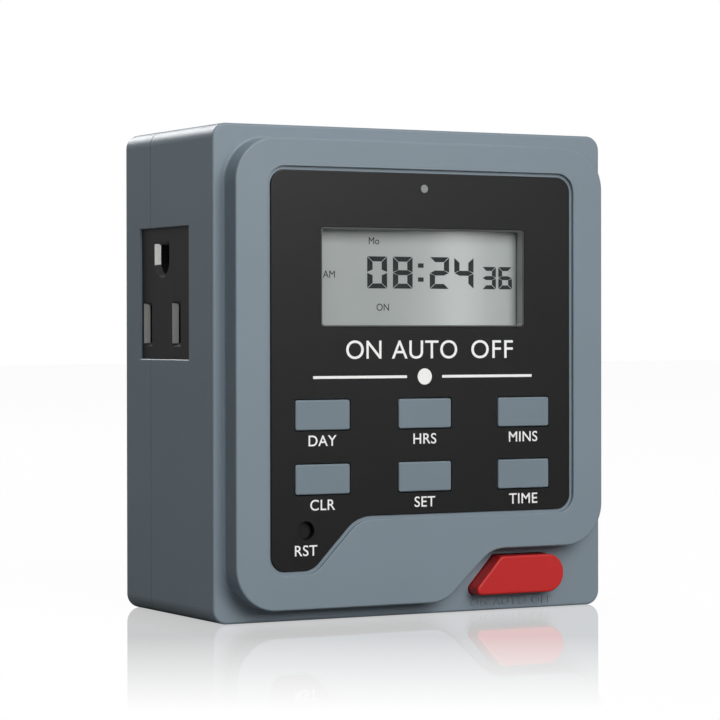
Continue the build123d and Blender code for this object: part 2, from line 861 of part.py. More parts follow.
def make_outlet(side):
    """Black outlet moulding with its slots, its flange and a cavity behind each slot."""
    outward = Axis((0, 0, 0), (side, 0, 0))
    slots, ground = socket_places(side)
    with BuildPart() as outlet:
        with BuildSketch(outlet_plane(side, outlet_depth)):
            Rectangle(outlet_width - 2 * outlet_clearance, outlet_height - 2 * outlet_clearance)
        extrude(amount=outlet_depth - outlet_recess)
        with BuildSketch(outlet_plane(side, wall + outlet_clearance + outlet_flange_thickness)):
            Rectangle(outlet_width + 2 * outlet_flange, outlet_height + 2 * outlet_flange)
        extrude(amount=outlet_flange_thickness)
        with BuildSketch(outlet_plane(side, outlet_depth)):
            with Locations(*slots):
                Rectangle(slot_width, slot_height)
            with Locations(ground):
                Circle(ground_hole_width / 2)
            with Locations((ground[0], ground[1] + ground_hole_top / 2)):
                Rectangle(ground_hole_width, ground_hole_top)
        extrude(amount=outlet_depth, mode=Mode.SUBTRACT)
        mouth_face = outlet.faces().sort_by(outward)[-1]
        mouth_edges = [edge for wire in mouth_face.inner_wires() for edge in wire.edges()]
        chamfer(mouth_edges, length=lead_in_width, length2=lead_in_depth, reference=mouth_face)
        with BuildSketch(outlet_plane(side, outlet_depth)):
            with Locations(*slots):
                Rectangle(blade_cavity_width, blade_cavity_height)
            with Locations(ground):
                Rectangle(ground_cavity_width, ground_cavity_height)
        extrude(amount=outlet_depth - outlet_face_thickness, mode=Mode.SUBTRACT)
    return outlet


def make_outlet_cover(side):
    """Plate that closes the inner end of an outlet, slotted for the three contact strips."""
    across = side * hole_shift
    strip_places = [(across + blade_offset, neutral_strip_z), (across - blade_offset, line_strip_z),
                    (across, ground_strip_z)]
    with BuildPart() as cover:
        with BuildSketch(outlet_plane(side, outlet_depth + outlet_cover_thickness)):
            Rectangle(outlet_width - 2 * outlet_clearance, outlet_height - 2 * outlet_clearance)
            with Locations(*[(x, z + strip_thickness / 2 - outlet_z) for x, z in strip_places]):
                Rectangle(strip_width + 2 * cover_slot_clearance,
                          strip_thickness + 2 * cover_slot_clearance, mode=Mode.SUBTRACT)
        extrude(amount=outlet_cover_thickness)
    return cover


for side, side_name in ((-1, "left"), (1, "right")):
    save(make_outlet(side), side_name + "_outlet")
    save(make_outlet_cover(side), side_name + "_outlet_cover")


def clip_points(side, y, gap, mouth):
    """Plan of a contact clip: two leaves that flare at the mouth and join at the inner end."""
    outer = gap / 2 + leaf_thickness
    plan = [
        (clip_start, mouth / 2 + leaf_thickness),
        (clip_throat, outer),
        (clip_end + leaf_thickness, outer),
        (clip_end + leaf_thickness, -outer),
        (clip_throat, -outer),
        (clip_start, -mouth / 2 - leaf_thickness),
        (clip_start, -mouth / 2),
        (clip_throat, -gap / 2),
        (clip_end, -gap / 2),
        (clip_end, gap / 2),
        (clip_throat, gap / 2),
        (clip_start, mouth / 2),
    ]
    return [(side * (housing_width / 2 - depth), y + across) for depth, across in plan]


def make_contact_bar(left_y, right_y, gap, mouth, clip_z, clip_height, strip_z):
    """Stamped bar: a clip in each outlet, and a strip that crosses between them."""
    end_x = housing_width / 2 - clip_end - clip_overlap
    half = strip_width / 2
    strip = [
        (-end_x, left_y - half), (-strip_bend_x, left_y - half), (strip_bend_x, right_y - half),
        (end_x, right_y - half), (end_x, right_y + half), (strip_bend_x, right_y + half),
        (-strip_bend_x, left_y + half), (-end_x, left_y + half),
    ]
    with BuildPart() as bar:
        for side, y in ((-1, left_y), (1, right_y)):
            with BuildSketch(Plane.XY.offset(clip_z - clip_height / 2)):
                with BuildLine():
                    Polyline(*clip_points(side, y, gap, mouth), close=True)
                make_face()
            extrude(amount=clip_height)
        with BuildSketch(Plane.XY.offset(strip_z)):
            if left_y == right_y:
                with Locations((0, left_y)):
                    Rectangle(2 * end_x, strip_width)
            else:
                with BuildLine():
                    Polyline(*strip, close=True)
                make_face()
        extrude(amount=strip_thickness)
    return bar


# Contact bars: the outlets are turned half round from each other, so line and neutral cross
neutral_ends = (socket_y - blade_offset, socket_y + blade_offset)
line_ends = (socket_y + blade_offset, socket_y - blade_offset)
save(make_contact_bar(*neutral_ends, blade_clip_gap, blade_clip_mouth, blade_slot_z,
                      blade_clip_height, neutral_strip_z), "neutral_bar")
save(make_contact_bar(*line_ends, blade_clip_gap, blade_clip_mouth, blade_slot_z,
                      blade_clip_height, line_strip_z), "line_bar")
save(make_contact_bar(socket_y, socket_y, ground_clip_gap, ground_clip_mouth, ground_slot_z,
                      ground_clip_height, ground_strip_z), "ground_bar")


def strip_y(ends, x):
    """Middle of a crossing strip at a place between its two bends."""
    share = (x + strip_bend_x) / (2 * strip_bend_x)
    return ends[0] + (ends[1] - ends[0]) * share


# Plug base: black insert in the back of the rear housing, with its flange inside
base_front_y = rear_inner_y - plug_base_flange_thickness
with BuildPart() as plug_base:
    with BuildSketch(at_depth(rear_y)):
        with Locations((0, plug_mid_z)):
            RectangleRounded(plug_base_width - 2 * plug_base_clearance,
                             plug_base_height - 2 * plug_base_clearance,
                             plug_base_radius - plug_base_clearance)
    extrude(amount=rear_y - base_front_y)
    with BuildSketch(at_depth(rear_inner_y)):
        with Locations((0, plug_mid_z)):
            RectangleRounded(plug_base_width + 2 * plug_base_flange,
                             plug_base_height + 2 * plug_base_flange,
                             plug_base_radius + plug_base_flange)
    extrude(amount=plug_base_flange_thickness)
    with BuildSketch(at_depth(rear_y)):
        with Locations((-blade_offset, plug_blade_z), (blade_offset, plug_blade_z)):
            Rectangle(blade_thickness + 2 * blade_clearance, blade_width + 2 * blade_clearance)
        with Locations((0, plug_pin_z)):
            Circle(pin_collar_radius + blade_clearance)
    extrude(amount=rear_y - base_front_y, mode=Mode.SUBTRACT)
save(plug_base, "plug_base")

# Blades and ground pin, each with a shoulder against the inside of the plug base
shoulder_y = base_front_y - shoulder_thickness
tab_y = shoulder_y - blade_tab_length


def make_blade(x):
    """Flat blade with its hole near the tip, a shoulder and an inner tab."""
    with BuildPart() as blade:
        with BuildSketch(at_depth(rear_y + blade_length)):
            with Locations((x, plug_blade_z)):
                Rectangle(blade_thickness, blade_width)
        extrude(amount=rear_y + blade_length - tab_y)
        chamfer(blade.faces().sort_by(Axis.Y)[-1].edges(), length=blade_tip_chamfer)
        with BuildSketch(at_depth(base_front_y)):
            with Locations((x, plug_blade_z)):
                Rectangle(blade_thickness + 2 * shoulder_margin, blade_width + 2 * shoulder_margin)
        extrude(amount=shoulder_thickness)
        with BuildSketch(Plane.YZ.offset(x)):
            with Locations((rear_y + blade_length - blade_hole_from_tip, plug_blade_z)):
                Circle(blade_hole_radius)
        extrude(amount=blade_thickness, both=True, mode=Mode.SUBTRACT)
    return blade


save(make_blade(-blade_offset), "neutral_blade")
save(make_blade(blade_offset), "line_blade")

with BuildPart() as ground_pin:
    with BuildSketch(at_depth(rear_y + ground_pin_length)):
        with Locations((0, plug_pin_z)):
            Circle(ground_pin_radius)
    extrude(amount=ground_pin_length)
    fillet(ground_pin.faces().sort_by(Axis.Y)[-1].edges(), radius=0.8 * ground_pin_radius)
    with BuildSketch(at_depth(rear_y)):
        with Locations((0, plug_pin_z)):
            Circle(pin_collar_radius)
    extrude(amount=rear_y - shoulder_y)
    with BuildSketch(at_depth(base_front_y)):
        with Locations((0, plug_pin_z)):
            Circle(pin_collar_radius + shoulder_margin)
    extrude(amount=shoulder_thickness)
    with BuildSketch(at_depth(shoulder_y)):
        with Locations((0, plug_pin_z)):
            Circle(pin_stub_radius)
    extrude(amount=pin_stub_length)
save(ground_pin, "ground_pin")

# Ground strap: from the pin's stub up behind the bars, then forward onto the ground bar
strap_top_z = ground_strip_z + strip_thickness
with BuildPart() as ground_strap:
    with BuildSketch(at_depth(shoulder_y)):
        with Locations((0, plug_pin_z)):
            Rectangle(strap_pad_width, strap_pad_width)
        with Locations((0, (plug_pin_z + strap_top_z + strip_thickness) / 2)):
            Rectangle(strap_width, strap_top_z + strip_thickness - plug_pin_z)
        with Locations((0, plug_pin_z)):
            Circle(pin_stub_radius + screw_clearance, mode=Mode.SUBTRACT)
    extrude(amount=strip_thickness)
    with BuildSketch(Plane.XY.offset(strap_top_z)):
        with Locations((0, (shoulder_y + socket_y - strip_width / 2) / 2)):
            Rectangle(strap_width, shoulder_y - socket_y + strip_width / 2)
    extrude(amount=strip_thickness)
save(ground_strap, "ground_strap")

# Neutral strap: a plate on the side of the neutral blade's tab, down to the neutral bar
neutral_strap_x = -blade_offset - blade_thickness / 2
neutral_join_y = strip_y(neutral_ends, neutral_strap_x - strip_thickness / 2)
neutral_top_z = neutral_strip_z + strip_thickness
strap_leg = blade_tab_length - shoulder_thickness
strap_height = strip_thickness + 3.0
neutral_strap_points = [
    (neutral_join_y - strip_width / 4, neutral_top_z),
    (tab_y + strap_leg, neutral_top_z),
    (tab_y + strap_leg, plug_blade_z + blade_width / 3),
    (tab_y, plug_blade_z + blade_width / 3),
    (tab_y, neutral_top_z + strap_height),
    (neutral_join_y - strip_width / 4, neutral_top_z + strap_height),
]
with BuildPart() as neutral_strap:
    with BuildSketch(Plane.YZ.offset(neutral_strap_x)):
        with BuildLine():
            Polyline(*neutral_strap_points, close=True)
        make_face()
    extrude(amount=-strip_thickness)
save(neutral_strap, "neutral_strap")


def make_wire(points):
    """Insulated wire along straight runs joined by bends."""
    with BuildPart() as wire:
        with BuildLine() as route:
            FilletPolyline(*points, radius=wire_bend)
        start = Plane(origin=route.line @ 0, z_dir=route.line % 0)
        with BuildSketch(start):
            Circle(wire_radius)
        sweep(path=route.line)
    return wire


# Wires: line feed to the relay, switched line up to its bar, and neutral down from its bar
wire_end_z = power_board_top_z - wire_edge_gap
wire_turn_y = power_board_y - wire_board_gap
feed_y = tab_y + wire_radius
save(make_wire([
    (blade_offset, feed_y, plug_blade_z - blade_width / 2),
    (blade_offset, feed_y, plug_pin_z),
    (blade_offset + feed_shift, wire_turn_y, wire_end_z),
    (blade_offset + feed_shift, power_board_y, wire_end_z),
]), "line_feed_wire")

switched_y = strip_y(line_ends, switched_x)
save(make_wire([
    (switched_x, switched_y, line_strip_z),
    (switched_x, switched_y, plug_pin_z),
    (2 * switched_x, wire_turn_y, wire_end_z),
    (2 * switched_x, power_board_y, wire_end_z),
]), "switched_line_wire")

neutral_y = strip_y(neutral_ends, neutral_x)
save(make_wire([
    (neutral_x, neutral_y, neutral_strip_z),
    (neutral_x, neutral_y, plug_pin_z - wire_bend),
    (neutral_x + neutral_shift, wire_turn_y, wire_end_z),
    (neutral_x + neutral_shift, power_board_y, wire_end_z),
]), "neutral_wire")

# Ribbon cable and its two connectors, between the boards
outlet_flange_z = outlet_z - outlet_height / 2 - outlet_flange
control_connector_z = outlet_flange_z - connector_outlet_gap - connector_height / 2
power_connector_z = power_board_top_z - connector_edge_gap - connector_height / 2
with BuildPart() as ribbon_connectors:
    with BuildSketch(at_depth(board_back_y)):
        with Locations((ribbon_x, control_connector_z)):
            Rectangle(connector_width, connector_height)
    extrude(amount=-connector_depth)
    with BuildSketch(at_depth(power_board_y)):
        with Locations((ribbon_x, power_connector_z)):
            Rectangle(connector_width, connector_height)
    extrude(amount=connector_depth)
save(ribbon_connectors, "ribbon_connectors")

ribbon_start_y = board_back_y + connector_depth
ribbon_end_y = power_board_y - connector_depth
ribbon_run = (ribbon_end_y - ribbon_start_y) / 3
with BuildPart() as ribbon_cable:
    with BuildSketch(Plane.YZ.offset(ribbon_x - ribbon_width / 2)):
        with BuildLine():
            FilletPolyline(
                (ribbon_start_y, control_connector_z),
                (ribbon_start_y + ribbon_run, control_connector_z),
                (ribbon_end_y - ribbon_run, power_connector_z),
                (ribbon_end_y, power_connector_z),
                (ribbon_end_y, power_connector_z + ribbon_thickness),
                (ribbon_end_y - ribbon_run, power_connector_z + ribbon_thickness),
                (ribbon_start_y + ribbon_run, control_connector_z + ribbon_thickness),
                (ribbon_start_y, control_connector_z + ribbon_thickness),
                radius=[0, 1.0, 1.0, 0, 0, 1.0, 1.0, 0],
                close=True,
            )
        make_face()
    extrude(amount=ribbon_width)
save(ribbon_cable, "ribbon_cable")

# Housing screws, from the back through the rear bosses into the front ones
head_back_y = rear_y - housing_screw_sink
head_front_y = head_back_y - housing_screw_head_height
with BuildPart() as housing_screws:
    with BuildSketch(at_depth(head_back_y)):
        with Locations(*housing_screw_places):
            Circle(housing_screw_head_radius)
    extrude(amount=housing_screw_head_height)
    with BuildSketch(at_depth(head_front_y)):
        with Locations(*housing_screw_places):
            Circle(housing_screw_radius)
    extrude(amount=head_front_y - parting_y + housing_screw_bite)
    with BuildSketch(at_depth(head_back_y)):
        with Locations(*housing_screw_places):
            Rectangle(cross_recess_length, cross_recess_width)
            Rectangle(cross_recess_width, cross_recess_length)
    extrude(amount=housing_screw_head_height / 2, mode=Mode.SUBTRACT)
save(housing_screws, "housing_screws")


def make_board_screws(places, head_y, reach):
    """Small screws whose heads sit on a board at depth head_y; a negative reach faces the rear."""
    away = -board_screw_head_height if reach > 0 else board_screw_head_height
    with BuildPart() as screws:
        with BuildSketch(at_depth(head_y)):
            with Locations(*places):
                Circle(board_screw_head_radius)
        extrude(amount=away)
        with BuildSketch(at_depth(head_y)):
            with Locations(*places):
                Circle(board_screw_radius)
        extrude(amount=reach)
    return screws


control_screw_reach = board_thickness + board_screw_bite
power_screw_reach = board_thickness + power_screw_bite
save(make_board_screws(control_screw_places, board_back_y, control_screw_reach), "control_board_screws")
save(make_board_screws(power_screw_places, power_board_y, -power_screw_reach), "power_board_screws")
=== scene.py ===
import json
import math

import bmesh
import bpy
from mathutils import Matrix, Vector


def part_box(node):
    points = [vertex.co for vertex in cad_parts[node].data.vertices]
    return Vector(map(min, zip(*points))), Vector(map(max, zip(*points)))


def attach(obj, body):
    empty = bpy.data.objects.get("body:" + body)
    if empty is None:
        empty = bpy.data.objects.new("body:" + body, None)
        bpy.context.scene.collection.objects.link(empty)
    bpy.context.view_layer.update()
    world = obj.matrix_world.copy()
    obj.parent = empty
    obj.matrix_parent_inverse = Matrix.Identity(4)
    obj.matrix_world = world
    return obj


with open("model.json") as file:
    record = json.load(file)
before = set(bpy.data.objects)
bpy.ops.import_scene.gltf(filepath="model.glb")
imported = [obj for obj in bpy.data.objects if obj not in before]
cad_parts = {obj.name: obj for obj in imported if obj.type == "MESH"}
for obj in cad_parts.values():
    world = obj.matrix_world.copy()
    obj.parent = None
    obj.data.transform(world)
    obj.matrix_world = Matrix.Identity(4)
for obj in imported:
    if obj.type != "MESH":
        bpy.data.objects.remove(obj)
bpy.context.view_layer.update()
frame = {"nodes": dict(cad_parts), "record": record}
nodes = frame["nodes"]
bpy.context.scene.view_settings.view_transform = "Standard"


# Housing: the front shell with its raised bezel and the shallow rear shell behind the parting line.
# Both are moulded in blue-grey ABS, with a fine satin grain from the spark-eroded mould,
# and are pulled together by four screws from the back.
TONE_PATCH = 0.02
GLOSS_PATCH = 0.004
GLOSS_DRIFT = 0.03


def new_finish(name, color, roughness):
    """Start a finish: its material, its node tree and its surface shader."""
    finish = bpy.data.materials.new(name)
    finish.use_nodes = True
    tree = finish.node_tree
    surface = tree.nodes["Principled BSDF"]
    surface.inputs["Base Color"].default_value = (*color, 1)
    surface.inputs["Roughness"].default_value = roughness
    finish.diffuse_color = (*color, 1)
    return finish, tree, surface


def speckle(tree, size, detail=2.0, stretch=(1, 1, 1)):
    """Noise with spots of about one size, in metres, fixed to the object."""
    place = tree.nodes.new("ShaderNodeTexCoord")
    scaled = tree.nodes.new("ShaderNodeMapping")
    scaled.inputs["Scale"].default_value = stretch
    noise = tree.nodes.new("ShaderNodeTexNoise")
    noise.inputs["Scale"].default_value = 1 / size
    noise.inputs["Detail"].default_value = detail
    tree.links.new(place.outputs["Object"], scaled.inputs["Vector"])
    tree.links.new(scaled.outputs["Vector"], noise.inputs["Vector"])
    return noise.outputs["Fac"]


def shift_range(tree, value, start, end, low, high, smooth=False):
    """Turn a value that runs from start to end into one that runs from low to high."""
    shift = tree.nodes.new("ShaderNodeMapRange")
    if smooth:
        shift.interpolation_type = "SMOOTHSTEP"
    shift.inputs["From Min"].default_value = start
    shift.inputs["From Max"].default_value = end
    shift.inputs["To Min"].default_value = low
    shift.inputs["To Max"].default_value = high
    tree.links.new(value, shift.inputs["Value"])
    return shift.outputs["Result"]


def vary_tone(tree, surface, value, dark, light):
    """Let the colour drift between two near tones."""
    ramp = tree.nodes.new("ShaderNodeValToRGB")
    ramp.color_ramp.elements[0].position = 0.3
    ramp.color_ramp.elements[0].color = (*dark, 1)
    ramp.color_ramp.elements[1].position = 0.7
    ramp.color_ramp.elements[1].color = (*light, 1)
    tree.links.new(value, ramp.inputs["Fac"])
    tree.links.new(ramp.outputs["Color"], surface.inputs["Base Color"])


def vary_gloss(tree, surface, value, low, high):
    """Let the roughness drift between two values."""
    tree.links.new(shift_range(tree, value, 0, 1, low, high), surface.inputs["Roughness"])


def emboss(tree, surface, value, depth):
    """Raise the surface a little where the pattern is light; depth in metres."""
    bump = tree.nodes.new("ShaderNodeBump")
    bump.inputs["Distance"].default_value = depth
    tree.links.new(value, bump.inputs["Height"])
    tree.links.new(bump.outputs["Normal"], surface.inputs["Normal"])


def near_tones(color, drift):
    """A colour a little darker and the same colour a little lighter."""
    return [c * (1 - drift) for c in color], [c * (1 + drift) for c in color]


def moulded_plastic(name, color, roughness, grain=0.00022, depth=0.000004, shine=0.5):
    """Injection-moulded plastic: fine grain, slightly uneven gloss and tone."""
    finish, tree, surface = new_finish(name, color, roughness)
    surface.inputs["Specular IOR Level"].default_value = shine
    vary_tone(tree, surface, speckle(tree, TONE_PATCH), *near_tones(color, 0.02))
    gloss = speckle(tree, GLOSS_PATCH)
    vary_gloss(tree, surface, gloss, roughness - GLOSS_DRIFT, roughness + GLOSS_DRIFT)
    emboss(tree, surface, speckle(tree, grain), depth)
    return finish


def dress(finish, *names):
    """Give CAD nodes their finish."""
    for name in names:
        slots = nodes[name].data.materials
        slots.clear()
        slots.append(finish)


housing_plastic = moulded_plastic("housing_plastic", (0.20, 0.25, 0.29), 0.42, shine=0.45)
dress(housing_plastic, "front_housing", "rear_housing")


# Mode words: ON AUTO OFF in small raised letters on the front shell, under the mode key.
# They are cut in the mould, so they come out in the shell's own plastic, and half their depth is
# sunk in its face, which lies as far before the middle of the housing as its back lies behind.
MODE_LETTER_HEIGHT = 0.0014
MODE_LETTER_DEPTH = 0.0003
MODE_LETTERS_X = 0.0213
MODE_LETTERS_Z = 0.0016
shell_front = -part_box("rear_housing")[1].y


def letters(words, cap_height, depth, widen=1.0, weight=0.0, spacing=1.0):
    """Mesh of words in the XZ plane, facing the front, its middle at the origin."""
    curve = bpy.data.curves.new("words", "FONT")
    curve.body = words
    curve.size = 1.0
    curve.offset = weight
    curve.space_character = spacing
    curve.extrude = 0.5
    holder = bpy.data.objects.new("words", curve)
    bpy.context.scene.collection.objects.link(holder)
    mesh = bpy.data.meshes.new_from_object(holder)
    bpy.data.objects.remove(holder)
    points = [v.co for v in mesh.vertices]
    low = Vector([min(p[i] for p in points) for i in range(3)])
    high = Vector([max(p[i] for p in points) for i in range(3)])
    scale = cap_height / (high.y - low.y)
    middle = (low + high) / 2
    for vertex in mesh.vertices:
        x, y, z = vertex.co - middle
        vertex.co = (x * scale * widen, -z * depth, y * scale)
    return mesh


def gather(name, parts):
    """One object from meshes, each put at its place; places are (x, y, z)."""
    joined = bmesh.new()
    for mesh, place in parts:
        mesh.transform(Matrix.Translation(place))
        joined.from_mesh(mesh)
    mesh = bpy.data.meshes.new(name)
    joined.to_mesh(mesh)
    joined.free()
    piece = bpy.data.objects.new(name, mesh)
    bpy.context.scene.collection.objects.link(piece)
    return piece


raised_words = gather("raised_mode_words", [(
    letters("ON AUTO OFF", MODE_LETTER_HEIGHT, MODE_LETTER_DEPTH, widen=1.26, spacing=1.1),
    (MODE_LETTERS_X, shell_front, MODE_LETTERS_Z),
)])
raised_words.data.materials.append(housing_plastic)
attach(raised_words, "timer")

# Face panel: black ABS plate with a satin face, sunk in the bezel with a groove left round it.
# It lies on a ledge inside the bezel, with an opening for the display and a hole for each key.
panel_black = moulded_plastic("panel_black", (0.008, 0.008, 0.008), 0.32, 0.00018, 0.000003, shine=0.3)
dress(panel_black, "face_panel")


# Panel print: white screen-printed ink, about 0.02 mm thick, with the three mode words over
# a ruled line with a dot in its middle, and a word under each key.
INK_THICKNESS = 0.00002
MODE_WORD_HEIGHT = 0.0034
MODE_WORDS_Z = 0.04935
RULE_LENGTH = 0.0195
RULE_WIDTH = 0.0005
RULES_X = (-0.01352, 0.01348)
RULE_Z = 0.04435
DOT_DIAMETER = 0.003
KEY_WORD_HEIGHT = 0.00195
KEY_WORD_GAP = 0.00015
mode_words = {
    "ON": (-0.0128, {"widen": 1.02, "spacing": 1.0}),
    "AUTO": (0.0, {"widen": 1.02, "spacing": 1.04}),
    "OFF": (0.01455, {"widen": 1.06, "spacing": 1.08}),
}
key_words = {
    "day_key": "DAY", "hour_key": "HRS", "minute_key": "MINS",
    "clear_key": "CLR", "set_key": "SET", "time_key": "TIME", "reset_key": "RST",
}
print_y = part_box("face_panel")[0].y - INK_THICKNESS / 2


def plate(outline, depth):
    """Mesh of a thin flat plate in the XZ plane from its outline, facing the front."""
    shape = bmesh.new()
    front = [shape.verts.new((x, -depth / 2, z)) for x, z in outline]
    back = [shape.verts.new((x, depth / 2, z)) for x, z in outline]
    shape.faces.new(front)
    shape.faces.new(back[::-1])
    for i in range(len(outline)):
        j = (i + 1) % len(outline)
        shape.faces.new((front[j], front[i], back[i], back[j]))
    bmesh.ops.recalc_face_normals(shape, faces=shape.faces)
    mesh = bpy.data.meshes.new("plate")
    shape.to_mesh(mesh)
    shape.free()
    return mesh


def oblong(width, height, radius=0.0, steps=6):
    """Outline of a rectangle, its middle at the origin, with round corners if they have a radius."""
    shares = [step / steps for step in range(steps + 1)] if radius else [0]
    outline = []
    for quarter, (side, end) in enumerate(((1, 1), (-1, 1), (-1, -1), (1, -1))):
        middle_x = side * (width / 2 - radius)
        middle_z = end * (height / 2 - radius)
        for share in shares:
            turn = math.pi / 2 * (quarter + share)
            outline.append((middle_x + radius * math.cos(turn), middle_z + radius * math.sin(turn)))
    return outline


print_parts = []
for word, (x, look) in mode_words.items():
    mesh = letters(word, MODE_WORD_HEIGHT, INK_THICKNESS, weight=0.002, **look)
    print_parts.append((mesh, (x, print_y, MODE_WORDS_Z)))
for x in RULES_X:
    rule = plate(oblong(RULE_LENGTH, RULE_WIDTH), INK_THICKNESS)
    print_parts.append((rule, (x, print_y, RULE_Z)))
dot = plate(oblong(DOT_DIAMETER, DOT_DIAMETER, DOT_DIAMETER / 2, steps=12), INK_THICKNESS)
print_parts.append((dot, (0.0, print_y, RULE_Z)))
for key, word in key_words.items():
    key_low, key_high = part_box(key)
    mesh = letters(word, KEY_WORD_HEIGHT, INK_THICKNESS, widen=1.02, weight=0.007, spacing=1.05)
    word_z = key_low.z - KEY_WORD_GAP - KEY_WORD_HEIGHT / 2
    print_parts.append((mesh, ((key_low.x + key_high.x) / 2, print_y, word_z)))
panel_print = gather("panel_print", print_parts)

white_ink, ink_tree, ink_surface = new_finish("white_ink", (0.91, 0.91, 0.90), 0.5)
vary_tone(ink_tree, ink_surface, speckle(ink_tree, 0.0006), (0.88, 0.88, 0.87), (0.94, 0.94, 0.93))
emboss(ink_tree, ink_surface, speckle(ink_tree, 0.0001), 0.000002)
panel_print.data.materials.append(white_ink)
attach(panel_print, "timer")

# Function keys: grey ABS caps with a satin face, put in from behind, where a flange keeps them.
# Each pushes the black plunger of its own switch on the control board.
key_plastic = moulded_plastic("key_plastic", (0.178, 0.226, 0.262), 0.42, shine=0.35)
dress(key_plastic, "day_key", "hour_key", "minute_key", "clear_key", "set_key", "time_key")
plunger_black = moulded_plastic("plunger_black", (0.03, 0.03, 0.03), 0.55)
dress(plunger_black, *[name for name in nodes if name.endswith("_plunger")])

# Reset key: thin black peg at the bottom of its pen hole, moulded in ABS.
# It stops short of the panel's face, so that only the point of a pen reaches it.
reset_black = moulded_plastic("reset_black", (0.008, 0.008, 0.008), 0.5, shine=0.2)
dress(reset_black, "reset_key")

# Mode key: red ABS bar with one slanted and one round end, with a satin face.
# It stands proud of its pocket in the shell, beside the bezel.
mode_red = moulded_plastic("mode_red", (0.53, 0.018, 0.018), 0.40, shine=0.35)
dress(mode_red, "mode_key")

# Indicator: light pipe of smoky clear plastic, from the panel down to its lamp.
# It shows as a small grey dot above the display.
smoky_clear = moulded_plastic("smoky_clear", (0.24, 0.245, 0.245), 0.2, 0.001, 0.000001)
dress(smoky_clear, "indicator_lens")

# Display frame: light grey ABS box that holds the glass and fills the panel opening as a collar.
# Its front end is tinted dark, like the panel around it.
TINT_DEPTH = 0.00030
TINT_FADE = 0.00026
frame_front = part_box("display_frame")[0].y
frame_grey, frame_tree, frame_surface = new_finish("frame_grey", (0.34, 0.36, 0.36), 0.45)
frame_place = frame_tree.nodes.new("ShaderNodeTexCoord")
frame_axes = frame_tree.nodes.new("ShaderNodeSeparateXYZ")
frame_tree.links.new(frame_place.outputs["Object"], frame_axes.inputs["Vector"])
tint_end = frame_front + TINT_DEPTH
untinted = shift_range(frame_tree, frame_axes.outputs["Y"], tint_end - TINT_FADE, tint_end, 0, 1)
vary_tone(frame_tree, frame_surface, untinted, (0.05, 0.05, 0.05), (0.34, 0.36, 0.36))
emboss(frame_tree, frame_surface, speckle(frame_tree, 0.0002), 0.000003)
dress(frame_grey, "display_frame")


# Display window: clear polycarbonate cover in the frame, over the display glass.
# Its front has an anti-glare coat, which shows the lamps as a soft sheen.
def reckon(tree, operation, first, second, clamp=False):
    """One step of arithmetic on two values, each the output of a node or a plain number."""
    step = tree.nodes.new("ShaderNodeMath")
    step.operation = operation
    step.use_clamp = clamp
    for socket, value in zip(step.inputs, (first, second)):
        if isinstance(value, bpy.types.NodeSocket):
            tree.links.new(value, socket)
        else:
            socket.default_value = value
    return step.outputs["Value"]


def lay_over(tree, share, under, over):
    """Mix two shaders: over shows by its share, and under by the rest."""
    mixed = tree.nodes.new("ShaderNodeMixShader")
    tree.links.new(share, mixed.inputs["Fac"])
    tree.links.new(under, mixed.inputs[1])
    tree.links.new(over, mixed.inputs[2])
    return mixed.outputs["Shader"]


window_clear = bpy.data.materials.new("window_clear")
window_clear.use_nodes = True
window_tree = window_clear.node_tree
window_tree.nodes.remove(window_tree.nodes["Principled BSDF"])
see_through = window_tree.nodes.new("ShaderNodeBsdfTransparent")
see_through.inputs["Color"].default_value = (0.97, 0.98, 0.98, 1)
sheen = window_tree.nodes.new("ShaderNodeBsdfGlossy")
sheen.inputs["Roughness"].default_value = 0.18
by_angle = window_tree.nodes.new("ShaderNodeFresnel")
by_angle.inputs["IOR"].default_value = 1.15
side_of = window_tree.nodes.new("ShaderNodeNewGeometry")
behind_it = side_of.outputs["Backfacing"]
from_front = reckon(window_tree, "SUBTRACT", by_angle.outputs["Fac"], behind_it, clamp=True)
coated = lay_over(window_tree, from_front, see_through.outputs["BSDF"], sheen.outputs["BSDF"])
window_tree.links.new(coated, window_tree.nodes["Material Output"].inputs["Surface"])
dress(window_clear, "display_window")

# Display glass: a front plate with a lower rear plate behind it, with the liquid crystal between.
# Two rubber contact strips are squeezed between its ledges and the control board.
lcd_glass = moulded_plastic("lcd_glass", (0.33, 0.36, 0.34), 0.12, 0.004, 0.0000005)
contact_rubber = moulded_plastic("contact_rubber", (0.6, 0.52, 0.5), 0.7)
dress(lcd_glass, "lcd_cell")
dress(contact_rubber, "zebra_strips")

# Polariser: grey plastic film, glued to the front of the display glass, under the clear window.
# It stops half a millimetre short of the edges of the glass and has round corners.
FILM_THICKNESS = 0.00004
FILM_MARGIN = 0.0005
FILM_CORNER = 0.0003
lcd_low, lcd_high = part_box("lcd_cell")
lcd_middle = (lcd_low + lcd_high) / 2
film_outline = oblong(
    lcd_high.x - lcd_low.x - 2 * FILM_MARGIN, lcd_high.z - lcd_low.z - 2 * FILM_MARGIN, FILM_CORNER,
)
polariser = gather("polariser_film", [
    (plate(film_outline, FILM_THICKNESS), (lcd_middle.x, lcd_low.y - FILM_THICKNESS / 2, lcd_middle.z)),
])
film_grey, film_tree, film_surface = new_finish("film_grey", (0.39, 0.41, 0.40), 0.35)
vary_tone(film_tree, film_surface, speckle(film_tree, 0.012), (0.385, 0.41, 0.40), (0.415, 0.435, 0.425))
vary_gloss(film_tree, film_surface, speckle(film_tree, 0.003), 0.08, 0.10)
film_surface.inputs["Specular IOR Level"].default_value = 0.5
polariser.data.materials.append(film_grey)
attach(polariser, "timer")

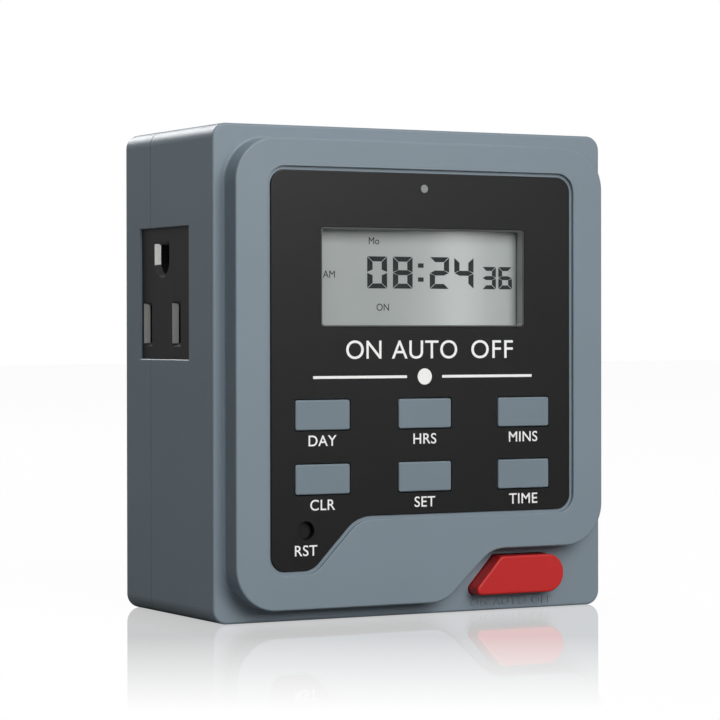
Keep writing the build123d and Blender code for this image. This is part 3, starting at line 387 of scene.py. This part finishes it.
# Display segments: the dark figures of the liquid-crystal display, with the time of day, the
# seconds, and three small words. They have no thickness of their own; here they are thin plates
# on the film, and each segment is mitred to its neighbours with a hair's gap.
SEGMENT_THICKNESS = 0.00002
SEGMENT_GAP = 0.00010
FIGURES_Z = 0.0606
TIME_FIGURE = {"width": 0.00417, "height": 0.0059, "upright": 0.00112, "level": 0.00092}
SECONDS_FIGURE = {"width": 0.0030, "height": 0.0042, "upright": 0.00085, "level": 0.00075}
TIME = [("0", -0.01063), ("8", -0.00522), ("2", 0.00263), ("4", 0.00792)]
SECONDS = [("3", 0.01399), ("6", 0.01753)]
COLON_X = 0.00071
COLON_DOTS_Z = (0.0623, 0.0649)
COLON_DOT_WIDTH = 0.0012
COLON_DOT_HEIGHT = 0.0008
DISPLAY_WORD_HEIGHT = 0.0013
DISPLAY_WORDS = [("AM", -0.0186, 0.06315), ("Mo", -0.0092, 0.06935), ("ON", -0.00737, 0.05715)]
LIT = {
    "0": "abcdef", "2": "abged", "3": "abgcd", "4": "fgbc", "6": "afgedc", "8": "abcdefg",
}
segment_y = lcd_low.y - FILM_THICKNESS - SEGMENT_THICKNESS / 2


def segment_outlines(width, height, upright, level):
    """Outlines of the seven segments of a figure from its lower left corner, by their usual letters."""
    middle = height / 2
    mitre = (level + SEGMENT_GAP) / 2
    bar_end = upright + SEGMENT_GAP / 2
    bottom = [(SEGMENT_GAP, 0), (bar_end, level), (width - bar_end, level), (width - SEGMENT_GAP, 0)]
    lower_left = [
        (0, SEGMENT_GAP), (0, middle - SEGMENT_GAP),
        (upright, middle - mitre), (upright, level + SEGMENT_GAP),
    ]
    across = [
        (SEGMENT_GAP, middle), (upright, middle + level / 2), (width - upright, middle + level / 2),
        (width - SEGMENT_GAP, middle), (width - upright, middle - level / 2), (upright, middle - level / 2),
    ]
    upper_left = [(x, height - z) for x, z in lower_left]
    return {
        "a": [(x, height - z) for x, z in bottom],
        "b": [(width - x, z) for x, z in upper_left],
        "c": [(width - x, z) for x, z in lower_left],
        "d": bottom,
        "e": lower_left,
        "f": upper_left,
        "g": across,
    }


figures = []
for reading, size in ((TIME, TIME_FIGURE), (SECONDS, SECONDS_FIGURE)):
    outlines = segment_outlines(**size)
    for figure, x in reading:
        for lit in LIT[figure]:
            figures.append((plate(outlines[lit], SEGMENT_THICKNESS), (x, segment_y, FIGURES_Z)))
for z in COLON_DOTS_Z:
    colon_dot = plate(oblong(COLON_DOT_WIDTH, COLON_DOT_HEIGHT), SEGMENT_THICKNESS)
    figures.append((colon_dot, (COLON_X, segment_y, z)))
for word, x, z in DISPLAY_WORDS:
    mesh = letters(word, DISPLAY_WORD_HEIGHT, SEGMENT_THICKNESS, widen=0.95)
    figures.append((mesh, (x, segment_y, z)))
lcd_segments = gather("lcd_segments", figures)
segment_dark, segment_tree, segment_surface = new_finish("segment_dark", (0.02, 0.024, 0.024), 0.6)
segment_surface.inputs["Specular IOR Level"].default_value = 0.15
segment_patches = speckle(segment_tree, 0.004)
vary_tone(segment_tree, segment_surface, segment_patches, (0.014, 0.018, 0.019), (0.03, 0.034, 0.034))
lcd_segments.data.materials.append(segment_dark)
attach(lcd_segments, "timer")


# Circuit boards: glass-epoxy laminate with a green solder mask over their copper tracks.
# The control board is screwed behind the panel, the power board low in the rear shell.
def solder_mask(name, green):
    """Green lacquer over a pattern of copper tracks that show as lighter, slightly raised lines."""
    finish, tree, surface = new_finish(name, green, 0.35)
    place = tree.nodes.new("ShaderNodeTexCoord")
    turned = tree.nodes.new("ShaderNodeMapping")
    turned.inputs["Rotation"].default_value = (math.pi / 2, 0, 0)
    tracks = tree.nodes.new("ShaderNodeTexBrick")
    tracks.inputs["Scale"].default_value = 260.0
    tracks.inputs["Mortar Size"].default_value = 0.08
    tracks.inputs["Color1"].default_value = (*green, 1)
    tracks.inputs["Color2"].default_value = (*[c * 0.9 for c in green], 1)
    tracks.inputs["Mortar"].default_value = (*[c * 1.8 for c in green], 1)
    tree.links.new(place.outputs["Object"], turned.inputs["Vector"])
    tree.links.new(turned.outputs["Vector"], tracks.inputs["Vector"])
    tree.links.new(tracks.outputs["Color"], surface.inputs["Base Color"])
    emboss(tree, surface, tracks.outputs["Fac"], 0.00002)
    return finish


dress(solder_mask("solder_mask", (0.02, 0.12, 0.05)), "control_board", "power_board")

# Parts on the boards: black chips and switches, blue relay, yellow film capacitor, black can,
# blue varistor, beige resistors and white connectors. Each is moulded, sleeved or dipped in
# plastic or lacquer, and soldered to its board.
dress(moulded_plastic("chip_black", (0.025, 0.025, 0.027), 0.5), "microcontroller", "key_switches",
      "indicator_lamp", "rectifier_diodes")
dress(moulded_plastic("relay_blue", (0.02, 0.09, 0.30), 0.35), "relay")
dress(moulded_plastic("film_yellow", (0.62, 0.42, 0.04), 0.4), "film_capacitor")
dress(moulded_plastic("can_sleeve", (0.02, 0.025, 0.05), 0.25), "smoothing_capacitor")
dress(moulded_plastic("varistor_blue", (0.02, 0.10, 0.26), 0.3), "varistor")
dress(moulded_plastic("resistor_beige", (0.5, 0.36, 0.2), 0.45), "dropper_resistors")
dress(moulded_plastic("nylon_white", (0.72, 0.70, 0.64), 0.45), "ribbon_connectors")


# Steel on the boards: the can of the clock crystal and the cell that keeps the time, both pressed
# from plated sheet, and the small screws that hold the boards on their posts.
def worked_metal(name, color, roughness, grain, stretch):
    """Metal with fine marks that run one way from rolling, turning or stamping."""
    finish, tree, surface = new_finish(name, color, roughness)
    surface.inputs["Metallic"].default_value = 1.0
    marks = speckle(tree, grain, 3.0, stretch)
    vary_tone(tree, surface, marks, *near_tones(color, 0.05))
    vary_gloss(tree, surface, marks, roughness - 0.06, roughness + 0.06)
    emboss(tree, surface, marks, 0.000002)
    return finish


zinc_plate = worked_metal("zinc_plate", (0.62, 0.62, 0.6), 0.32, 0.0004, (1, 0.2, 1))
dress(zinc_plate, "clock_crystal", "memory_battery", "control_board_screws", "power_board_screws")


# Ribbon cable: nine cores side by side in grey PVC, which join the two boards.
# The valleys between the cores are painted darker along it, as shade in the creases.
def ribbed_pvc(name, color, pitch):
    """Flat cable whose cores show as ribs across its width, with painted shade in the valleys between them.
    """
    finish, tree, surface = new_finish(name, color, 0.5)
    place = tree.nodes.new("ShaderNodeTexCoord")
    ribs = tree.nodes.new("ShaderNodeTexWave")
    ribs.inputs["Scale"].default_value = 1 / pitch / (2 * math.pi)
    tree.links.new(place.outputs["Object"], ribs.inputs["Vector"])
    # Painted shade: the grey darkens to three quarters in the valleys between the cores.
    vary_tone(tree, surface, ribs.outputs["Fac"], [c * 0.75 for c in color], color)
    emboss(tree, surface, ribs.outputs["Fac"], 0.0001)
    return finish


dress(ribbed_pvc("ribbon_grey", (0.4, 0.4, 0.41), 0.001), "ribbon_cable")

# Wires: stranded copper in PVC, black for the feed, red for the switched line, white for neutral.
# They join the plug, the power board and the contact bars.
dress(moulded_plastic("pvc_black", (0.02, 0.02, 0.02), 0.5), "line_feed_wire")
dress(moulded_plastic("pvc_red", (0.4, 0.02, 0.02), 0.5), "switched_line_wire")
dress(moulded_plastic("pvc_white", (0.75, 0.75, 0.73), 0.5), "neutral_wire")

# Outlets and plug base: black flame-retardant plastic with a satin face.
# The outlets sit in the windows of the side walls, the plug base in the back of the rear shell.
outlet_plastic = moulded_plastic("outlet_plastic", (0.020, 0.020, 0.020), 0.42, shine=0.35)
dress(outlet_plastic, "left_outlet", "right_outlet", "left_outlet_cover", "right_outlet_cover", "plug_base")

# Contact bars, straps and plug: stamped brass. The bars, straps and neutral blade are nickel
# plated. A bar has a clip in each outlet, and the blades and the pin stand in the plug base.
nickel = worked_metal("nickel_plate", (0.68, 0.66, 0.62), 0.28, 0.0006, (0.15, 1, 1))
bare_brass = worked_metal("bare_brass", (0.72, 0.52, 0.24), 0.28, 0.0006, (1, 0.15, 1))
dress(nickel, "line_bar", "neutral_bar", "ground_bar", "ground_strap", "neutral_strap", "neutral_blade")
dress(bare_brass, "line_blade", "ground_pin")

# Contact mouths: tinned brass lips that line the rear lead-in of each ground hole and blade slot,
# flared to lead the pin and the blades in, and seen as the light strips there. The lips in the blade
# slots take a darker copy of the same tin, which is painted shade.
# The rise of a lip is the height of its middle over the middle of the outlet.
LEAD_IN_WIDTH = 0.00065
LEAD_IN_DEPTH = 0.0010
LIP_THICKNESS = 0.0001
BLADE_SPACING = 0.0127
SLOT_WIDTH = 0.0023
GROUND_HOLE_WIDTH = 0.0052
outlet_middle = Vector(next(m["pos_m"] for m in frame["record"]["mounts"] if m["name"] == "left_outlet"))
front_slot_y = outlet_middle.y - BLADE_SPACING / 2
rear_slot_y = outlet_middle.y + BLADE_SPACING / 2
ground_lip = {"tall": 0.0040, "wall_y": outlet_middle.y + GROUND_HOLE_WIDTH / 2, "rise": 0.0073}
front_slot_lip = {"tall": 0.0074, "wall_y": front_slot_y + SLOT_WIDTH / 2, "rise": -0.00555}
rear_slot_lip = {"tall": 0.0074, "wall_y": rear_slot_y + SLOT_WIDTH / 2, "rise": -0.00555}


def flared_lip(side, tall):
    """Mesh of a thin strip along the rear lead-in; its inner rear corner is at the origin."""
    outer = (side * LEAD_IN_DEPTH, LEAD_IN_WIDTH)
    share = LIP_THICKNESS / math.hypot(*outer)
    off = (side * LEAD_IN_WIDTH * share, -LEAD_IN_DEPTH * share)
    corners = [(0, 0), outer, (outer[0] + off[0], outer[1] + off[1]), off]
    lip = plate([(x, -y) for x, y in corners], tall)
    lip.transform(Matrix.Rotation(math.pi / 2, 4, "X"))
    return lip


tinned = worked_metal("tinned", (0.78, 0.78, 0.76), 0.42, 0.0008, (1, 1, 0.2))
# Painted shade: the blade-slot lips are the same tinned brass as the ground lips, painted darker to stand
# for the shade they lie in.
tinned_painted_shade = worked_metal("tinned_painted_shade", (0.36, 0.36, 0.35), 0.50, 0.0008, (1, 1, 0.2))
mouths = {
    "ground": (ground_lip, tinned),
    "front_slot": (front_slot_lip, tinned_painted_shade),
    "rear_slot": (rear_slot_lip, tinned_painted_shade),
}
for side, outlet in ((-1, "left_outlet"), (1, "right_outlet")):
    outlet_low, outlet_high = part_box(outlet)
    face_x = outlet_low.x if side < 0 else outlet_high.x
    for mouth, (size, finish) in mouths.items():
        place = (face_x - side * LEAD_IN_DEPTH, size["wall_y"], outlet_middle.z + size["rise"])
        lip = gather(outlet + "_" + mouth + "_lip", [(flared_lip(side, size["tall"]), place)])
        lip.data.materials.append(finish)
        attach(lip, "timer")

# Housing screws: four zinc-plated steel screws with turned heads, put in from the back.
# They pass through the bosses of the rear shell and pull the front shell onto it.
dress(zinc_plate, "housing_screws")

# Camera: a long lens, level with the timer's middle and to the left of its front, so that the
# left side shows. Its place comes from a fit to the edges and corners in the photograph.
CAMERA_PLACE = Vector((-0.25961, -0.47582, 0.05230))
yaw = math.radians(28.543)
pitch = math.radians(0.537)
roll = math.radians(-0.082)
camera_data = bpy.data.cameras.new("camera")
camera_data.lens = 141.11
camera_data.sensor_width = 36
camera_data.clip_start = 0.01
camera = bpy.data.objects.new("camera", camera_data)
bpy.context.scene.collection.objects.link(camera)
ahead = Vector((math.sin(yaw) * math.cos(pitch), math.cos(yaw) * math.cos(pitch), -math.sin(pitch)))
right = Vector((math.cos(yaw), -math.sin(yaw), 0))
up = right.cross(ahead)
across = right * math.cos(roll) + up * math.sin(roll)
above = -right * math.sin(roll) + up * math.cos(roll)
camera.matrix_world = Matrix((
    (across.x, above.x, -ahead.x, CAMERA_PLACE.x),
    (across.y, above.y, -ahead.y, CAMERA_PLACE.y),
    (across.z, above.z, -ahead.z, CAMERA_PLACE.z),
    (0, 0, 0, 1),
))
bpy.context.scene.camera = camera

# Studio floor: white and glossy, with a mirror image that fades towards the viewer. The mirror is
# there for the camera alone, and the floor throws just a little light back up at the object.
FLOOR_SIZE = 8
FLOOR_THICKNESS = 0.002
MIRROR_START = -0.150
MIRROR_FULL = -0.055
floor_mesh = plate(oblong(FLOOR_SIZE, FLOOR_SIZE), FLOOR_THICKNESS)
floor_mesh.transform(Matrix.Rotation(math.pi / 2, 4, "X"))
floor = gather("floor", [(floor_mesh, (0, 0, -FLOOR_THICKNESS / 2))])
floor_white, floor_tree, floor_surface = new_finish("floor_white", (0.95, 0.95, 0.95), 0.9)
floor_surface.inputs["Specular IOR Level"].default_value = 0.0
by_camera = floor_tree.nodes.new("ShaderNodeLightPath").outputs["Is Camera Ray"]
glow = floor_tree.nodes.new("ShaderNodeEmission")
floor_tree.links.new(by_camera, glow.inputs["Strength"])
glow_share = shift_range(floor_tree, by_camera, 0, 1, 0.75, 0.94)
plain = lay_over(floor_tree, glow_share, floor_surface.outputs["BSDF"], glow.outputs["Emission"])
mirror = floor_tree.nodes.new("ShaderNodeBsdfGlossy")
mirror.inputs["Color"].default_value = (1, 1, 1, 1)
mirror.inputs["Roughness"].default_value = 0.02
geometry = floor_tree.nodes.new("ShaderNodeNewGeometry")
away = floor_tree.nodes.new("ShaderNodeVectorMath")
away.operation = "DOT_PRODUCT"
away.inputs[1].default_value = (math.sin(yaw), math.cos(yaw), 0)
floor_tree.links.new(geometry.outputs["Position"], away.inputs[0])
fade = shift_range(floor_tree, away.outputs["Value"], MIRROR_START, MIRROR_FULL, 0, 0.45)
mirror_share = reckon(floor_tree, "MULTIPLY", fade, by_camera)
polished = lay_over(floor_tree, mirror_share, plain, mirror.outputs["BSDF"])
floor_tree.links.new(polished, floor_tree.nodes["Material Output"].inputs["Surface"])
floor.data.materials.append(floor_white)

# Studio room: white where it is seen. As a light it is dim, and bright only low down behind the
# object, where the floor mirrors it, so that the lamps shape the object.
DIM_LEVEL = 0.03
GLOSS_LEVEL = 0.15
world = bpy.data.worlds.new("studio")
world.use_nodes = True
bpy.context.scene.world = world
room = world.node_tree
backdrop = room.nodes["Background"]
backdrop.inputs["Color"].default_value = (1, 1, 1, 1)
direction = room.nodes.new("ShaderNodeTexCoord").outputs["Generated"]
behind = room.nodes.new("ShaderNodeVectorMath")
behind.operation = "DOT_PRODUCT"
behind.inputs[1].default_value = Vector((0.478, 0.878, 0.05)).normalized()
room.links.new(direction, behind.inputs[0])
heading = room.nodes.new("ShaderNodeSeparateXYZ")
room.links.new(direction, heading.inputs["Vector"])
glow_behind = shift_range(room, behind.outputs["Value"], 0.68, 0.80, 0, 1, smooth=True)
low_down = shift_range(room, heading.outputs["Z"], 0.20, 0.13, 0, 1, smooth=True)
horizon = reckon(room, "MULTIPLY", glow_behind, low_down)
seen = room.nodes.new("ShaderNodeLightPath").outputs
white_for = reckon(room, "MAXIMUM", seen["Is Camera Ray"], seen["Is Transmission Ray"])
in_gloss = reckon(room, "MULTIPLY", seen["Is Glossy Ray"], GLOSS_LEVEL)
shown = reckon(room, "MAXIMUM", white_for, in_gloss)
level = reckon(room, "MAXIMUM", shown, reckon(room, "MAXIMUM", horizon, DIM_LEVEL))
room.links.new(level, backdrop.inputs["Strength"])


# Studio lamps: a large soft box in front and above, two small ones close to the left side, a
# narrow one for the light lines on the edges, one behind for the top edge, one overhead, and a
# thin strip that shows softly in the display.
LAMPS_FACE = Vector((0, 0, 0.045))


def add_lamp(name, bearing, rise, distance, width, height, power):
    """Area lamp that faces the object; bearing is in degrees to the right of its front."""
    light = bpy.data.lights.new(name, "AREA")
    light.shape = "RECTANGLE"
    light.size = width
    light.size_y = height
    light.energy = power
    lamp = bpy.data.objects.new(name, light)
    bpy.context.scene.collection.objects.link(lamp)
    turn, tilt = math.radians(bearing), math.radians(rise)
    toward = Vector((math.sin(turn) * math.cos(tilt), -math.cos(turn) * math.cos(tilt), math.sin(tilt)))
    lamp.location = LAMPS_FACE + toward * distance
    lamp.rotation_euler = toward.to_track_quat("Z", "Y").to_euler()
    lamp.visible_camera = False


add_lamp("key_box", bearing=8, rise=28, distance=1.0, width=0.7, height=0.7, power=9.15)
add_lamp("left_box", bearing=-50, rise=36, distance=0.36, width=0.1, height=0.1, power=0.055)
add_lamp("high_box", bearing=-70, rise=58, distance=0.26, width=0.08, height=0.08, power=0.065)
add_lamp("edge_box", bearing=-45, rise=4, distance=1.3, width=0.06, height=0.6, power=1.1)
add_lamp("back_box", bearing=-168, rise=31, distance=1.3, width=0.8, height=0.36, power=8.0)
add_lamp("top_box", bearing=170, rise=80, distance=1.0, width=0.7, height=0.7, power=2.0)
add_lamp("strip", bearing=30.4, rise=7, distance=1.34, width=0.019, height=0.5, power=0.30)
